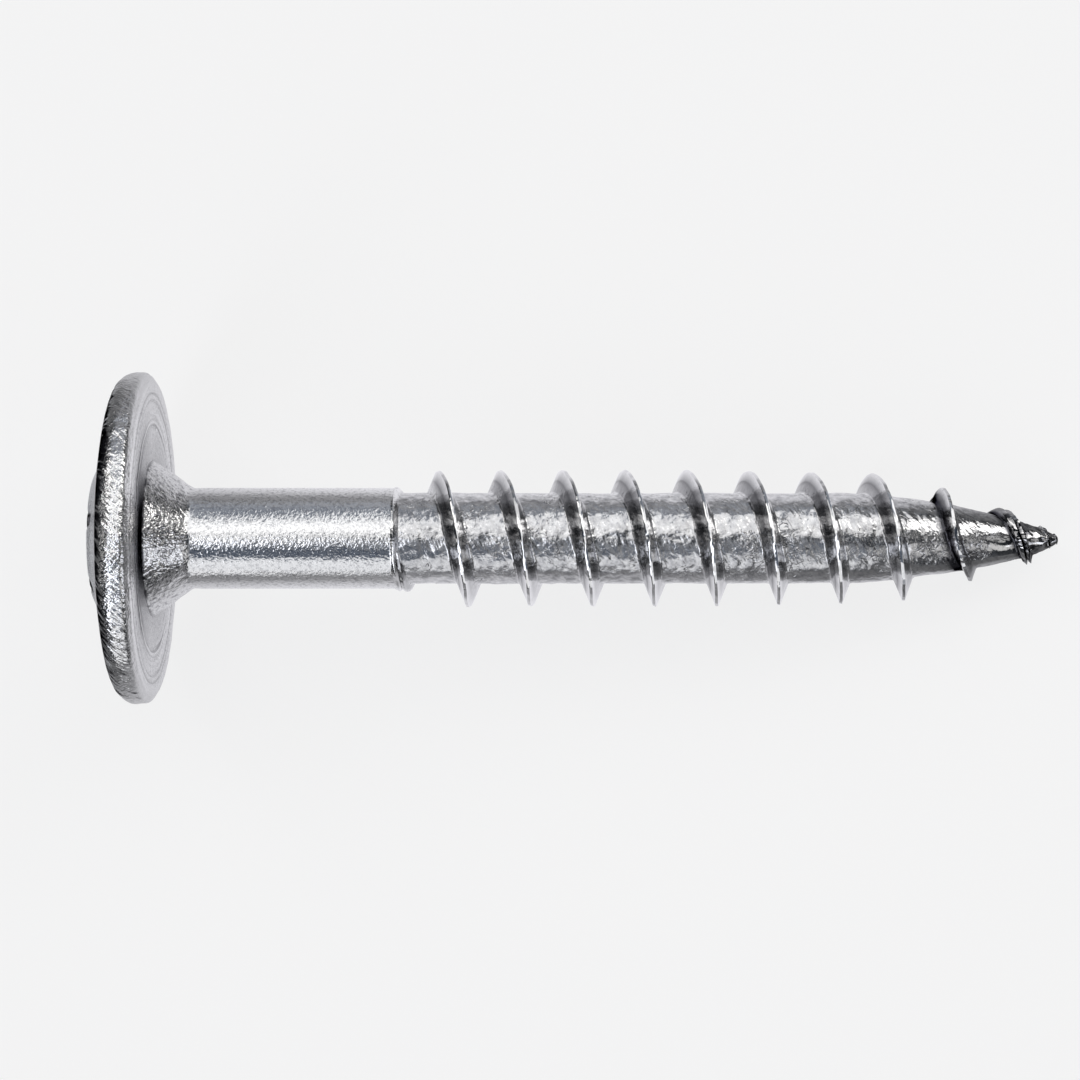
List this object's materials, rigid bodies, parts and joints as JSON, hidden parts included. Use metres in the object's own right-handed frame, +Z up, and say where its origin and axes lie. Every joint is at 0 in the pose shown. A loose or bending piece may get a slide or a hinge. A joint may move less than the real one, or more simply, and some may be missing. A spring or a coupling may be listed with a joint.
{
  "type": "chipboard screw",
  "caption": "Zinc-plated chipboard screw with a wide washer head, lobed drive recess, cone neck, smooth shank and coarse thread running out to a gimlet point.",
  "frame": {"origin": "on the floor, under the middle of the lying screw's bounding box", "axes": "+X along the screw as it lies, from the head to the point, +Z up. The screw's own axis dips towards the point by 7.92 degrees, because it rests on the rim of its head and on a crest of its thread"},
  "size_m": [0.0424, 0.0146, 0.0145],
  "materials": {
    "zinc": "bright zinc plating over cold-formed steel, with die marks on the rim and a hammered core"
  },
  "bodies": {
    "root": {"screw": "zinc"}
  },
  "joints": []
}
